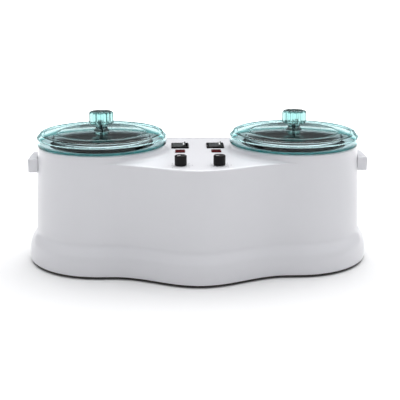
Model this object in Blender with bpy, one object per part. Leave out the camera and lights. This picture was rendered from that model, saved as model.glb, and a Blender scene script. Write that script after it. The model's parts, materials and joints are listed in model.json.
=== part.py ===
"""Twin-pot salon wax warmer, modelled as the separate pieces it comes apart into.

Dimensions are in millimetres and are scaled to metres when a mesh is made.
+Z is up, +X runs along the two pots, the front faces -Y.
The origin is under the middle of the warmer, on the surface it stands on.
"""
import math

import bmesh
import bpy
from mathutils import Matrix, Vector

MM = 0.001
GAP = 0.3                 # clearance kept between pieces that touch

# ---- driving dimensions -------------------------------------------------
POT_X = 112.0             # pot centres lie at +-POT_X
POT_Y = 15.0              # and this far behind the middle of the footprint
FOOT_R = 88.3             # radius of the housing's skirt round each pot
BULGE = 30.0              # how far the console's front stands forward
BULGE_HALF = 98.0         # half the width of that bulge
WALL = 2.5                # moulded wall thickness
WALL_FOOT_Z = 34.0        # where the skirt turns into the tapered wall
WALL_INSET = 9.3          # how far the wall stands in from the skirt there
WALL_SLOPE = 0.047        # inward taper of the wall, mm per mm of height
PANEL_Z = 127.8           # top of the control panel
COLLAR_Z = 137.3          # top of the collar round each pot
WELL_R = 60.0             # hole in each collar
LID_R = 75.0
LID_Z = 137.6             # lower edge of the lid
LID_TOP_Z = 151.0
KNOB_TOP_Z = 174.6
SIDE_X = 21.5             # switches, lamps and dials lie at +-SIDE_X
SWITCH_Y = 36.2
LAMP_Y = 6.4
DIAL_Y = -63.8
HANDLE_X = 196.0          # outer face of each side handle
HANDLE_REACH = 21.5       # half the handle's length along Y
HANDLE_GAP = 0.4          # air between handle and wall
SCREW_PLACES = [(165, 65), (165, -35), (-165, 65), (-165, -35), (0, 88), (0, -88.5)]
FOOT_PLACES = [(140, 70), (140, -40), (-140, 70), (-140, -40)]
INLET_Z = 60.0
INLET_BACK_Y = 94.3       # inner and outer face of the inlet's flange
INLET_FACE_Y = 96.6
INLET_SCREW_X = 20.0
HANDLE_SCREW_Z = 119.5
HANDLE_SCREW_Y = 12.0
SCREW_R = 1.5             # shank and clearance hole of every screw but the lids'
SCREW_HOLE_R = 1.9
SWITCH_HOLE = (9.75, 11.35)   # half sizes of the panel's holes
LAMP_HOLE = (5.2, 4.95)
BUSH_HOLE_R = 3.95
PANEL_CUT = (120.0, 135.0)    # heights that the panel's holes are cut between
EAR_X = 55.8              # middle of each ear on a pot's rim
EAR_HALF = 0.6
BAIL_Z = 141.6            # the bail's pivot and resting height
BAIL_R = 53.5
BAIL_WIRE_R = 1.25
BAIL_END_X = 58.2
KNOB_LOBES = 12
SIDES = (("left", -1), ("right", 1))

# ---- roundness ----------------------------------------------------------
POT_COUNT = 32            # facets of everything that nests round a pot
LID_COUNT = 28
KNOB_COUNT = 3 * KNOB_LOBES
HALF_COUNT = POT_COUNT // 2
BULGE_COUNT = 12


# ---- materials ----------------------------------------------------------
def make_material(name, colour, roughness, metallic=0.0, alpha=1.0):
    """A Principled BSDF in one colour."""
    material = bpy.data.materials.new(name)
    material.use_nodes = True
    shader = material.node_tree.nodes["Principled BSDF"]
    shader.inputs["Base Color"].default_value = (*colour, 1.0)
    shader.inputs["Roughness"].default_value = roughness
    shader.inputs["Metallic"].default_value = metallic
    shader.inputs["Alpha"].default_value = alpha
    return material


# ---- mesh helpers -------------------------------------------------------
def circle(radius, z, count, centre=(0.0, 0.0)):
    """One ring of points, starting at +X and running anticlockwise."""
    step = 2 * math.pi / count
    return [Vector((centre[0] + radius * math.cos(i * step),
                    centre[1] + radius * math.sin(i * step), z)) for i in range(count)]


def rectangle(half_x, half_y, z, centre=(0.0, 0.0)):
    corners = ((1, 1), (-1, 1), (-1, -1), (1, -1))
    return [Vector((centre[0] + a * half_x, centre[1] + b * half_y, z)) for a, b in corners]


def loft(bm, rings, closed=False):
    """Skin over rings of equal length; closed joins the last ring to the first."""
    rows = [[bm.verts.new(point) for point in ring] for ring in rings]
    pairs = list(zip(rows, rows[1:]))
    if closed:
        pairs.append((rows[-1], rows[0]))
    count = len(rows[0])
    for low, high in pairs:
        for i in range(count):
            j = (i + 1) % count
            bm.faces.new((low[i], low[j], high[j], high[i]))
    if not closed:
        bm.faces.new(list(reversed(rows[0])))
        bm.faces.new(rows[-1])


def turn(bm, profile, count, centre, closed=False):
    """Turn a profile of (radius, height) points round a vertical axis."""
    loft(bm, [circle(radius, z, count, centre) for radius, z in profile], closed)


def rod(bm, start, end, radius, count=12):
    start, end = Vector(start), Vector(end)
    axis = end - start
    place = Matrix.Translation((start + end) / 2) @ axis.to_track_quat("Z", "Y").to_matrix().to_4x4()
    bmesh.ops.create_cone(bm, cap_ends=True, segments=count, radius1=radius, radius2=radius,
                          depth=axis.length, matrix=place)


def box(bm, low, high):
    low, high = Vector(low), Vector(high)
    size = high - low
    place = Matrix.Translation((low + high) / 2) @ Matrix.Diagonal((*size, 1.0))
    bmesh.ops.create_cube(bm, size=1.0, matrix=place)


def sweep_flat(bm, path, radius, count):
    """A round wire along a path that lies in one horizontal plane."""
    rings = []
    for i, point in enumerate(path):
        before = path[max(i - 1, 0)]
        after = path[min(i + 1, len(path) - 1)]
        forward_in = (point - before).normalized() if i else (after - point).normalized()
        forward_out = (after - point).normalized() if i < len(path) - 1 else forward_in
        forward = (forward_in + forward_out).normalized()
        mitre = 1.0 / max(forward.dot(forward_in), 0.5)
        side = Vector((-forward.y, forward.x, 0.0))
        ring = []
        for k in range(count):
            angle = 2 * math.pi * k / count
            ring.append(point + side * radius * mitre * math.cos(angle)
                        + Vector((0, 0, radius * math.sin(angle))))
        rings.append(ring)
    loft(bm, rings)


def finish_object(name, bm, material, origin=(0.0, 0.0, 0.0), parent=None):
    """Make the object, with its own origin, from a mesh drawn in millimetres."""
    bmesh.ops.recalc_face_normals(bm, faces=bm.faces)
    bmesh.ops.translate(bm, verts=bm.verts, vec=-Vector(origin))
    bmesh.ops.scale(bm, verts=bm.verts, vec=(MM, MM, MM))
    mesh = bpy.data.meshes.new(name)
    bm.to_mesh(mesh)
    bm.free()
    mesh.shade_smooth()
    mesh.set_sharp_from_angle(angle=math.radians(32))
    mesh.materials.append(material)
    obj = bpy.data.objects.new(name, mesh)
    bpy.context.scene.collection.objects.link(obj)
    obj.location = Vector(origin) * MM
    obj["world_origin"] = tuple(Vector(origin) * MM)
    if parent is not None:
        obj.parent = parent
        obj.location = Vector(obj["world_origin"]) - Vector(parent["world_origin"])
    return obj


def boolean(obj, name, bm, operation):
    """Join or cut with a hidden tool object."""
    tool = finish_object(name, bm, obj.data.materials[0])
    tool.hide_render = True
    tool.display_type = "WIRE"
    tool.location = Vector((0, 0, 0))
    modifier = obj.modifiers.new(name, "BOOLEAN")
    modifier.operation = operation
    modifier.solver = "EXACT"
    modifier.object = tool


# ---- the body outline ---------------------------------------------------
def wall_inset(z):
    """How far the tapered wall stands in from the skirt at a height."""
    return WALL_INSET + WALL_SLOPE * (z - WALL_FOOT_Z)


def wall_radius(z):
    return FOOT_R - wall_inset(z)


def half_circle(side, radius, z, outer):
    """Half of a pot's circle: the outer end, or the inner half without its ends."""
    step = math.pi / HALF_COUNT
    turns = range(HALF_COUNT + 1) if outer else range(1, HALF_COUNT)
    start = -math.pi / 2 if (side > 0) == outer else math.pi / 2
    return [Vector((side * POT_X + radius * math.cos(start + i * step),
                    POT_Y + radius * math.sin(start + i * step), z)) for i in turns]


def front_bulge(inset, z):
    """The console's front, from left to right, moved inwards along its normals."""
    points = []
    for i in range(BULGE_COUNT + 1):
        x = -BULGE_HALF + 2 * BULGE_HALF * i / BULGE_COUNT
        phase = math.pi * x / (2 * BULGE_HALF)
        y = -(FOOT_R + BULGE * math.cos(phase) ** 2)
        slope = BULGE * math.pi / (2 * BULGE_HALF) * math.sin(2 * phase)
        length = math.hypot(1.0, slope)
        points.append(Vector((x - slope / length * inset, POT_Y + y + inset / length, z)))
    return points


def outline(inset, z):
    """Closed plan outline of the body, anticlockwise from the right pot's front."""
    radius = FOOT_R - inset
    return half_circle(1, radius, z, True) + half_circle(-1, radius, z, True) + front_bulge(inset, z)


# ---- housing ------------------------------------------------------------
def housing_skin(bm, levels, collar):
    """One skin of the housing: walls, panel and the collars up to the well holes.

    levels are (height, inset) from the bottom to the panel, collar is
    (radius, height) from just above the panel to the well hole.
    Returns the bottom row of points and the two rows at the well holes.
    """
    rows = [[bm.verts.new(point) for point in outline(inset, z)] for z, inset in levels]
    count = len(rows[0])
    for low, high in zip(rows, rows[1:]):
        for i in range(count):
            j = (i + 1) % count
            bm.faces.new((low[i], low[j], high[j], high[i]))
    top_z, top_inset = levels[-1]
    radius = FOOT_R - top_inset
    end = HALF_COUNT + 1
    right = rows[-1][:end]
    left = rows[-1][end:2 * end]
    front = rows[-1][2 * end:]
    right_in = [bm.verts.new(point) for point in half_circle(1, radius, top_z, False)]
    left_in = [bm.verts.new(point) for point in half_circle(-1, radius, top_z, False)]
    bm.faces.new(front + [right[0]] + right_in[::-1] + [right[-1], left[0]] + left_in[::-1] + [left[-1]])
    wells = []
    for side, ring in ((1, right + right_in), (-1, left + left_in)):
        for ring_radius, z in collar:
            points = half_circle(side, ring_radius, z, True) + half_circle(side, ring_radius, z, False)
            row = [bm.verts.new(point) for point in points]
            for i in range(POT_COUNT):
                j = (i + 1) % POT_COUNT
                bm.faces.new((ring[i], ring[j], row[j], row[i]))
            ring = row
        wells.append(ring)
    return rows[0], wells


def bridge(bm, first, second):
    for i in range(len(first)):
        j = (i + 1) % len(first)
        bm.faces.new((first[i], first[j], second[j], second[i]))


def build_housing(white):
    """Moulded shell with skirt, console panel and two collars."""
    skirt = [(3.1, 1.0), (4.0, 0.0), (8.7, 0.0), (16.3, 0.4), (21.4, 1.4), (26.4, 2.8), (31.4, 5.9),
             (36.4, wall_inset(36.4))]
    outer = skirt + [(PANEL_Z - 1.2, wall_inset(PANEL_Z)), (PANEL_Z, wall_inset(PANEL_Z) + 0.5)]
    roof_z = PANEL_Z - WALL
    inner = [(3.1, WALL), (16.3, 0.4 + WALL), (26.4, 2.8 + WALL), (38.0, wall_inset(38.0) + WALL),
             (roof_z, wall_inset(roof_z) + WALL)]
    rim_r = wall_radius(COLLAR_Z)
    outer_collar = [(rim_r, COLLAR_Z - 1.0), (rim_r - 1.0, COLLAR_Z), (WELL_R, COLLAR_Z)]
    inner_collar = [(rim_r - WALL, COLLAR_Z - WALL), (WELL_R, COLLAR_Z - WALL)]
    bm = bmesh.new()
    bottom_out, wells_out = housing_skin(bm, outer, outer_collar)
    bottom_in, wells_in = housing_skin(bm, inner, inner_collar)
    bridge(bm, bottom_out, bottom_in)
    for first, second in zip(wells_out, wells_in):
        bridge(bm, first, second)
    housing = finish_object("housing", bm, white)
    boolean(housing, "housing_additions", housing_additions(), "UNION")
    boolean(housing, "housing_cutouts", housing_cutouts(), "DIFFERENCE")
    return housing


def housing_additions():
    """Screw bosses, the lip along the panel's back and the flat pad round the inlet."""
    bm = bmesh.new()
    for x, y in SCREW_PLACES:
        rod(bm, (x, y, 4.8), (x, y, 42.0), 4.0)
    lip_back, lip_front = 74.4, 72.0
    lip_end = POT_X - math.sqrt(wall_radius(PANEL_Z) ** 2 - lip_front ** 2)
    plan = [(-POT_X, lip_back), (-lip_end, lip_front), (lip_end, lip_front), (POT_X, lip_back)]
    loft(bm, [[Vector((x, POT_Y + y, z)) for x, y in plan] for z in (PANEL_Z - 1.2, PANEL_Z + 2.0)])
    box(bm, (-27, 90, INLET_Z - 13), (27, 94, INLET_Z + 13))
    return bm


def housing_cutouts():
    """Holes for the switches, lamps, dial bushes, inlet and screws."""
    bm = bmesh.new()
    for _, side in SIDES:
        x = side * SIDE_X
        for (half_x, half_y), y in ((SWITCH_HOLE, SWITCH_Y), (LAMP_HOLE, LAMP_Y)):
            loft(bm, [rectangle(half_x, half_y, z, (x, y)) for z in PANEL_CUT])
        rod(bm, (x, DIAL_Y, PANEL_CUT[0]), (x, DIAL_Y, PANEL_CUT[1]), BUSH_HOLE_R)
        for y in (-HANDLE_SCREW_Y, HANDLE_SCREW_Y):
            rod(bm, (side * 178, POT_Y + y, HANDLE_SCREW_Z), (side * 192, POT_Y + y, HANDLE_SCREW_Z),
                SCREW_HOLE_R, 8)
        rod(bm, (side * INLET_SCREW_X, 84, INLET_Z), (side * INLET_SCREW_X, 98, INLET_Z), SCREW_HOLE_R, 8)
    for x, y in SCREW_PLACES:
        rod(bm, (x, y, 2.0), (x, y, 20.0), SCREW_HOLE_R, 8)
    box(bm, (-14, 84, INLET_Z - 10), (14, 98, INLET_Z + 10))
    return bm


# ---- base ---------------------------------------------------------------
def build_base_plate(dark):
    """Base tray: a rim under the housing's edge and a raised middle inside it."""
    bm = bmesh.new()
    loft(bm, [outline(1.6, 0.9), outline(1.6, 2.8), outline(4.4, 2.9), outline(4.4, 4.4)])
    plate = finish_object("base_plate", bm, dark)
    cut = bmesh.new()
    for x, y in SCREW_PLACES:
        turn(cut, [(4.2, 0.4), (3.7, 0.9), (SCREW_HOLE_R, 3.0), (SCREW_HOLE_R, 5.0)], 12, (x, y))
    for x, y in FOOT_PLACES:
        rod(cut, (x, y, 0.0), (x, y, 6.0), 8.4, 16)
    for _, side in SIDES:
        for i in range(-2, 3):
            x = side * POT_X + 12 * i
            box(cut, (x - 2, POT_Y - 20, 0), (x + 2, POT_Y + 20, 6))
    boolean(plate, "base_cutouts", cut, "DIFFERENCE")


def build_feet(rubber):
    profile = [(9.0, 0.0), (9.5, 0.6), (8.0, 0.6), (8.0, 4.7), (10.0, 4.7), (9.5, 6.2)]
    for number, place in enumerate(FOOT_PLACES, 1):
        bm = bmesh.new()
        turn(bm, profile, 12, place)
        finish_object(f"rubber_foot_{number}", bm, rubber)


def build_base_screws(steel):
    for number, place in enumerate(SCREW_PLACES, 1):
        bm = bmesh.new()
        turn(bm, [(3.3, 1.0), (SCREW_R, 2.8), (SCREW_R, 17.0), (0.6, 18.5)], 8, place)
        finish_object(f"base_screw_{number}", bm, steel)


# ---- side handles -------------------------------------------------------
def handle_ring(side, z, inset):
    """Plan of a side handle at one height, from its front corner round to its wall side."""
    face, reach = HANDLE_X - inset, HANDLE_REACH - inset
    outer = [(face - 1.6, -reach), (face - 0.5, -reach + 0.5), (face, -reach + 1.6),
             (face, reach - 1.6), (face - 0.5, reach - 0.5), (face - 1.6, reach)]
    points = [Vector((side * x, POT_Y + y, z)) for x, y in outer]
    radius = wall_radius(z) + HANDLE_GAP
    for i in range(7):
        y = reach - 2 * reach * i / 6
        points.append(Vector((side * (POT_X + math.sqrt(radius ** 2 - y ** 2)), POT_Y + y, z)))
    return points


def build_handles(white, steel):
    """Grip block on each end, held by two screws from inside."""
    levels = [(107.0, 0.6), (107.6, 0.0), (122.2, 0.0), (123.0, 0.8)]
    for name, side in SIDES:
        bm = bmesh.new()
        loft(bm, [handle_ring(side, z, inset) for z, inset in levels])
        handle = finish_object(f"side_handle_{name}", bm, white)
        cut = bmesh.new()
        for i, y in enumerate((-HANDLE_SCREW_Y, HANDLE_SCREW_Y)):
            rod(cut, (side * 182, POT_Y + y, HANDLE_SCREW_Z), (side * 193, POT_Y + y, HANDLE_SCREW_Z),
                SCREW_HOLE_R, 8)
            screw = bmesh.new()
            rings = []
            for radius, x in ((2.6, 180.4), (3.0, 181.0), (3.0, 182.2), (SCREW_R, 182.2), (SCREW_R, 192.0)):
                rings.append([Vector((side * x, POT_Y + y + p.x, HANDLE_SCREW_Z + p.y))
                              for p in circle(radius, 0, 8)])
            loft(screw, rings)
            finish_object(f"handle_screw_{name}_{i + 1}", screw, steel)
        boolean(handle, f"handle_holes_{name}", cut, "DIFFERENCE")


# ---- the heated well ----------------------------------------------------
def build_well(name, side, looks):
    """Collar ring clipped up under the collar, and the chamber, clip, heater and cutout it carries."""
    centre = (side * POT_X, POT_Y)
    bm = bmesh.new()
    neck_r = WELL_R - GAP - 0.05
    flange_z = COLLAR_Z - WALL - GAP
    ring = [(58.4, COLLAR_Z - GAP), (58.4, 133.0), (56.0, 133.0), (56.0, 131.0), (59.6, 131.0), (59.6, 133.0),
            (64.0, 133.0), (64.0, flange_z), (neck_r, flange_z), (neck_r, COLLAR_Z - GAP)]
    turn(bm, ring, POT_COUNT, centre, closed=True)
    finish_object(f"collar_ring_{name}", bm, looks["black"])

    bm = bmesh.new()
    chamber = [(52.0, 62.0), (55.6, 65.0), (55.6, 133.3), (57.9, 133.3), (57.9, 134.5), (54.2, 134.5),
               (54.2, 66.5), (51.0, 63.6)]
    turn(bm, chamber, POT_COUNT, centre)
    finish_object(f"heating_chamber_{name}", bm, looks["aluminium"])

    bm = bmesh.new()
    turn(bm, [(56.0, 129.2), (58.6, 129.2), (58.6, 130.7), (56.0, 130.7)], POT_COUNT, centre, closed=True)
    finish_object(f"chamber_clip_{name}", bm, looks["steel"])

    bm = bmesh.new()
    rings = []
    for i in range(1, POT_COUNT):
        angle = 2 * math.pi * i / POT_COUNT
        direction = Vector((math.cos(angle), math.sin(angle), 0.0))
        section = ((56.0, 75.0), (58.2, 75.0), (58.2, 105.0), (56.0, 105.0))
        rings.append([Vector((*centre, z)) + direction * radius for radius, z in section])
    loft(bm, rings)
    finish_object(f"heater_band_{name}", bm, looks["mica"])

    bm = bmesh.new()
    turn(bm, [(8.0, 55.0), (8.0, 59.5), (5.0, 61.7)], 12, centre)
    finish_object(f"thermal_cutout_{name}", bm, looks["steel"])


# ---- pot, bail and lid --------------------------------------------------
def build_pot(name, side, looks):
    """Lift-out pot with two ears; its bail swings in the ears."""
    centre = (side * POT_X, POT_Y)
    bm = bmesh.new()
    profile = [(50.0, 66.0), (53.4, 70.0), (53.4, 134.5), (54.4, 134.9), (57.6, 134.9), (57.6, 136.1),
               (53.4, 136.1), (52.4, 135.0), (52.4, 71.0), (49.4, 67.2)]
    turn(bm, profile, POT_COUNT, centre)
    pot = finish_object(f"inner_pot_{name}", bm, looks["pot"], (*centre, BAIL_Z))
    ears = bmesh.new()
    top, foot = BAIL_Z + 4.0, 135.4
    plan = [(4.0, foot), (4.0, BAIL_Z), (2.8, top - 1.2), (0.0, top), (-2.8, top - 1.2), (-4.0, BAIL_Z),
            (-4.0, foot), (0.0, foot)]
    hole_order = [-45, 0, 45, 90, 135, 180, 225, 270]
    hole = [(1.7 * math.cos(math.radians(a)), BAIL_Z + 1.7 * math.sin(math.radians(a))) for a in hole_order]
    for end in (-1, 1):
        faces = []
        low, high = EAR_X - EAR_HALF, EAR_X + EAR_HALF
        for x, shape in ((low, plan), (high, plan), (high, hole), (low, hole)):
            faces.append([Vector((centre[0] + end * x, POT_Y + y, z)) for y, z in shape])
        loft(ears, faces, closed=True)
    boolean(pot, f"pot_ears_{name}", ears, "UNION")

    bm = bmesh.new()
    path = [Vector((centre[0] - BAIL_END_X, POT_Y, BAIL_Z))]
    steps = 20
    for i in range(steps + 1):
        angle = math.pi + math.pi * i / steps
        path.append(Vector((centre[0] + BAIL_R * math.cos(angle), POT_Y + BAIL_R * math.sin(angle), BAIL_Z)))
    path.append(Vector((centre[0] + BAIL_END_X, POT_Y, BAIL_Z)))
    sweep_flat(bm, path, BAIL_WIRE_R, 6)
    finish_object(f"pot_bail_{name}", bm, looks["steel"], (*centre, BAIL_Z), pot)
    return pot


def build_lid(name, side, looks, pot):
    """Clear lid with a fluted knob, screwed on from underneath."""
    centre = (side * POT_X, POT_Y)
    bm = bmesh.new()
    inner_top = LID_TOP_Z - WALL
    inner_r = LID_R - WALL
    profile = [(inner_r, LID_Z), (LID_R, LID_Z), (LID_R, 145.0), (74.2, 146.4), (70.2, 150.4),
               (68.6, LID_TOP_Z), (2.2, LID_TOP_Z), (2.2, inner_top), (67.8, inner_top), (inner_r, 144.0)]
    turn(bm, profile, LID_COUNT, centre, closed=True)
    lid = finish_object(f"lid_{name}", bm, looks["teal"], (*centre, LID_Z), pot)

    bm = bmesh.new()
    foot_z = LID_TOP_Z + GAP
    profile = [(1.9, 165.0), (1.9, foot_z), (9.3, foot_z), (7.2, 153.4), (6.8, 159.0), (12.4, 160.4),
               (14.2, 163.0), (14.2, 171.4), (12.6, 173.9), (9.6, KNOB_TOP_Z)]
    rings = []
    for radius, z in profile:
        ring = []
        for point in circle(1.0, z, KNOB_COUNT):
            lobe = 0.5 - 0.5 * math.cos(KNOB_LOBES * math.atan2(point.y, point.x))
            grown = radius - (0.09 * radius * lobe if z > 160 and radius > 9 else 0.0)
            ring.append(Vector((centre[0] + point.x * grown, centre[1] + point.y * grown, z)))
        rings.append(ring)
    loft(bm, rings)
    finish_object(f"lid_knob_{name}", bm, looks["teal"], (*centre, foot_z), lid)

    bm = bmesh.new()
    turn(bm, [(3.4, 146.2), (4.0, 146.8), (4.0, 148.2), (1.5, 148.2), (1.5, 163.5), (0.6, 164.4)], 8, centre)
    finish_object(f"lid_screw_{name}", bm, looks["steel"], (*centre, LID_Z), lid)


# ---- controls -----------------------------------------------------------
def build_switch(name, side, looks):
    """Snap-in rocker switch: its frame, and the rocker that tips about Y."""
    centre = (side * SIDE_X, SWITCH_Y)
    top = PANEL_Z + GAP
    bm = bmesh.new()
    loft(bm, [rectangle(9.4, 11.0, 104.0, centre), rectangle(9.4, 11.0, top, centre),
              rectangle(10.5, 12.0, top, centre), rectangle(10.5, 12.0, top + 1.4, centre),
              rectangle(10.0, 11.5, top + 2.0, centre), rectangle(8.8, 10.3, top + 2.0, centre),
              rectangle(8.8, 10.3, 117.0, centre)])
    finish_object(f"switch_frame_{name}", bm, looks["black"])

    pivot = Vector((*centre, 124.0))
    tilt = math.radians(-6)
    bm = bmesh.new()
    shape = [(-7.6, 7.3), (-7.6, 2.0), (-4.0, -4.0), (4.0, -4.0), (7.6, 2.0), (7.6, 7.3),
             (4.0, 6.4), (0.0, 6.0), (-4.0, 6.4)]
    rings = []
    for y in (-9.9, 9.9):
        rings.append([pivot + Vector((x * math.cos(tilt) + z * math.sin(tilt), y,
                                      -x * math.sin(tilt) + z * math.cos(tilt))) for x, z in shape])
    loft(bm, rings)
    finish_object(f"rocker_{name}", bm, looks["grey"], pivot)


def build_lamp(name, side, looks):
    centre = (side * SIDE_X, LAMP_Y)
    top = PANEL_Z + GAP
    bm = bmesh.new()
    loft(bm, [rectangle(4.9, 4.65, 112.0, centre), rectangle(4.9, 4.65, top, centre),
              rectangle(5.75, 5.5, top, centre), rectangle(5.75, 5.5, top + 0.8, centre),
              rectangle(5.2, 4.95, top + 1.3, centre)])
    finish_object(f"indicator_lamp_{name}", bm, looks["red"])


def hexagon_ring(radius, z, centre):
    """Twelve points on a hexagon, with a point at each corner and each flat's middle."""
    points = []
    for i in range(12):
        reach = radius if i % 2 == 0 else radius * math.cos(math.pi / 6)
        angle = math.pi * i / 6
        points.append(Vector((centre[0] + reach * math.cos(angle), centre[1] + reach * math.sin(angle), z)))
    return points


def build_thermostat(name, side, looks):
    """Thermostat under the panel, its nut, spindle and dial."""
    centre = (side * SIDE_X, DIAL_Y)
    bm = bmesh.new()
    case_and_bush = [(13.0, 101.0), (13.0, 125.0), (3.5, 125.0), (3.5, 131.6), (2.4, 131.6), (2.4, 110.0)]
    turn(bm, case_and_bush, 16, centre)
    finish_object(f"thermostat_{name}", bm, looks["steel"])

    bm = bmesh.new()
    low, high = PANEL_Z + GAP, PANEL_Z + GAP + 2.0
    loft(bm, [hexagon_ring(5.5, low, centre), hexagon_ring(5.5, high, centre), circle(4.0, high, 12, centre),
              circle(4.0, low, 12, centre)], closed=True)
    finish_object(f"thermostat_nut_{name}", bm, looks["steel"])

    bm = bmesh.new()
    shell = [(6.0, 128.5), (6.6, 128.5), (6.6, 138.3), (5.9, 139.2), (2.3, 139.2), (2.3, 132.0),
             (6.0, 132.0)]
    turn(bm, shell, 20, centre, closed=True)
    dial = finish_object(f"temperature_dial_{name}", bm, looks["black"], (*centre, PANEL_Z))

    bm = bmesh.new()
    turn(bm, [(2.0, 111.0), (2.0, 138.6)], 8, centre)
    finish_object(f"dial_spindle_{name}", bm, looks["steel"], (*centre, PANEL_Z), dial)


# ---- electrical pieces --------------------------------------------------
def turn_along_y(bm, profile, x, z):
    """Turn a profile of (radius, y) points round an axis along Y; eight facets, for the screws."""
    loft(bm, [[Vector((x + p.x, y, z + p.y)) for p in circle(radius, 0, 8)] for radius, y in profile])


def build_electrics(looks):
    """Appliance inlet on the back wall, its screws and the terminal block on the base."""
    bm = bmesh.new()
    rings = []
    for half_x, half_z, y in ((13.6, 9.6, 76.0), (13.6, 9.6, INLET_BACK_Y), (25.0, 11.5, INLET_BACK_Y),
                              (25.0, 11.5, INLET_FACE_Y), (12.0, 8.0, INLET_FACE_Y), (12.0, 8.0, 80.0)):
        rings.append([Vector((x, y, INLET_Z + z)) for x, z in
                      ((half_x, half_z), (-half_x, half_z), (-half_x, -half_z), (half_x, -half_z))])
    loft(bm, rings)
    inlet = finish_object("power_inlet", bm, looks["black"])
    pins = bmesh.new()
    for x, z in ((-7.0, -1.0), (0.0, 3.0), (7.0, -1.0)):
        box(pins, (x - 1.0, 78.5, INLET_Z + z - 2.0), (x + 1.0, 94.0, INLET_Z + z + 2.0))
    boolean(inlet, "inlet_pins", pins, "UNION")
    holes = bmesh.new()
    for name, side in SIDES:
        x = side * INLET_SCREW_X
        screw = bmesh.new()
        turn_along_y(holes, [(SCREW_HOLE_R, 92.0), (SCREW_HOLE_R, 95.0), (4.9, 98.0)], x, INLET_Z)
        turn_along_y(screw, [(SCREW_R, 86.0), (SCREW_R, 95.0), (2.8, INLET_FACE_Y - GAP)], x, INLET_Z)
        finish_object(f"inlet_screw_{name}", screw, looks["steel"])
    boolean(inlet, "inlet_holes", holes, "DIFFERENCE")

    bm = bmesh.new()
    box(bm, (-18, 30, 4.7), (18, 46, 17.0))
    finish_object("terminal_block", bm, looks["black"])


# ---- assembly -----------------------------------------------------------
def main():
    for obj in list(bpy.data.objects):
        bpy.data.objects.remove(obj, do_unlink=True)
    looks = {
        "white": make_material("white_plastic", (0.86, 0.86, 0.88), 0.25),
        "dark": make_material("dark_base_plastic", (0.05, 0.045, 0.04), 0.6),
        "black": make_material("black_plastic", (0.02, 0.02, 0.022), 0.35),
        "grey": make_material("rocker_plastic", (0.07, 0.085, 0.085), 0.3),
        "red": make_material("red_lens", (0.40, 0.01, 0.02), 0.2),
        "teal": make_material("clear_teal_plastic", (0.25, 0.62, 0.60), 0.08, alpha=0.5),
        "rubber": make_material("foot_rubber", (0.03, 0.03, 0.03), 0.85),
        "steel": make_material("bright_steel", (0.60, 0.61, 0.63), 0.3, 1.0),
        "aluminium": make_material("spun_aluminium", (0.75, 0.76, 0.78), 0.35, 1.0),
        "pot": make_material("anodised_pot", (0.10, 0.10, 0.11), 0.4, 0.9),
        "mica": make_material("heater_mica", (0.45, 0.34, 0.20), 0.6),
    }
    build_housing(looks["white"])
    build_base_plate(looks["dark"])
    build_feet(looks["rubber"])
    build_base_screws(looks["steel"])
    build_handles(looks["white"], looks["steel"])
    for name, side in SIDES:
        build_well(name, side, looks)
        pot = build_pot(name, side, looks)
        build_lid(name, side, looks, pot)
        build_switch(name, side, looks)
        build_lamp(name, side, looks)
        build_thermostat(name, side, looks)
    build_electrics(looks)


main()
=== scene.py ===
"""Looks of the twin-pot wax warmer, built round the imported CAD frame.

Lengths are in millimetres in the frame's own axes and are scaled to metres when a mesh is made.
"""
import json
import math

import bmesh
import bpy
from mathutils import Matrix, Vector
from mathutils.geometry import delaunay_2d_cdt


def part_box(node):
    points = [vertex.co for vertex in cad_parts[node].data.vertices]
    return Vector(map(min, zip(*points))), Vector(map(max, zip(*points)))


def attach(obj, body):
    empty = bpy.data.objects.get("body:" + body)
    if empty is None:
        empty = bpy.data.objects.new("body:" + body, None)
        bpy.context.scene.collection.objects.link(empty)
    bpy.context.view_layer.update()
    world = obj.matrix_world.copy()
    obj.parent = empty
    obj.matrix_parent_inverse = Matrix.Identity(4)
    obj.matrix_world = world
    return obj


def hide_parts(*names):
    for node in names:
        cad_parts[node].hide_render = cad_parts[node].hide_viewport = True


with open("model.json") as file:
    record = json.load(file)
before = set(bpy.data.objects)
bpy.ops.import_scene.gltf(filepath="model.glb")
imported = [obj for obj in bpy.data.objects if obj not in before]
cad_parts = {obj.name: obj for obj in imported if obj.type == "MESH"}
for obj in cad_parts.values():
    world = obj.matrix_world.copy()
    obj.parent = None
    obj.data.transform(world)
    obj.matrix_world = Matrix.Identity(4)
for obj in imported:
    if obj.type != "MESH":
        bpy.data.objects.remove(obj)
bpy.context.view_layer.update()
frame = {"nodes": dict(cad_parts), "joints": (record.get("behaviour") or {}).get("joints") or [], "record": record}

MM = 0.001
SIDES = (("left", -1), ("right", 1))


def node_box(node):
    """A CAD node's lowest and highest corner, in millimetres."""
    low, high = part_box(node)
    return low / MM, high / MM


def node_centre(node):
    """The middle of a CAD node's box, in millimetres."""
    low, high = node_box(node)
    return (low + high) / 2


# ---- places read from the frame -----------------------------------------
housing_low, housing_high = node_box("housing")
lid_low, lid_high = node_box("lid_right")
knob_low, knob_high = node_box("lid_knob_right")
dial_low, dial_high = node_box("temperature_dial_right")

POT_X = node_centre("lid_right").x
POT_Y = node_centre("lid_right").y
LID_R = (lid_high.x - lid_low.x) / 2
LID_Z = lid_low.z
LID_TOP_Z = lid_high.z
KNOB_TOP_Z = knob_high.z
KNOB_R = (knob_high.x - knob_low.x) / 2
COLLAR_Z = housing_high.z
FOOT_R = housing_high.y - POT_Y
SIDE_X = node_centre("rocker_right").x
SWITCH_Y = node_centre("switch_frame_right").y
LAMP_Y = node_centre("indicator_lamp_right").y
DIAL_Y = node_centre("temperature_dial_right").y
DIAL_R = (dial_high.x - dial_low.x) / 2

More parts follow.
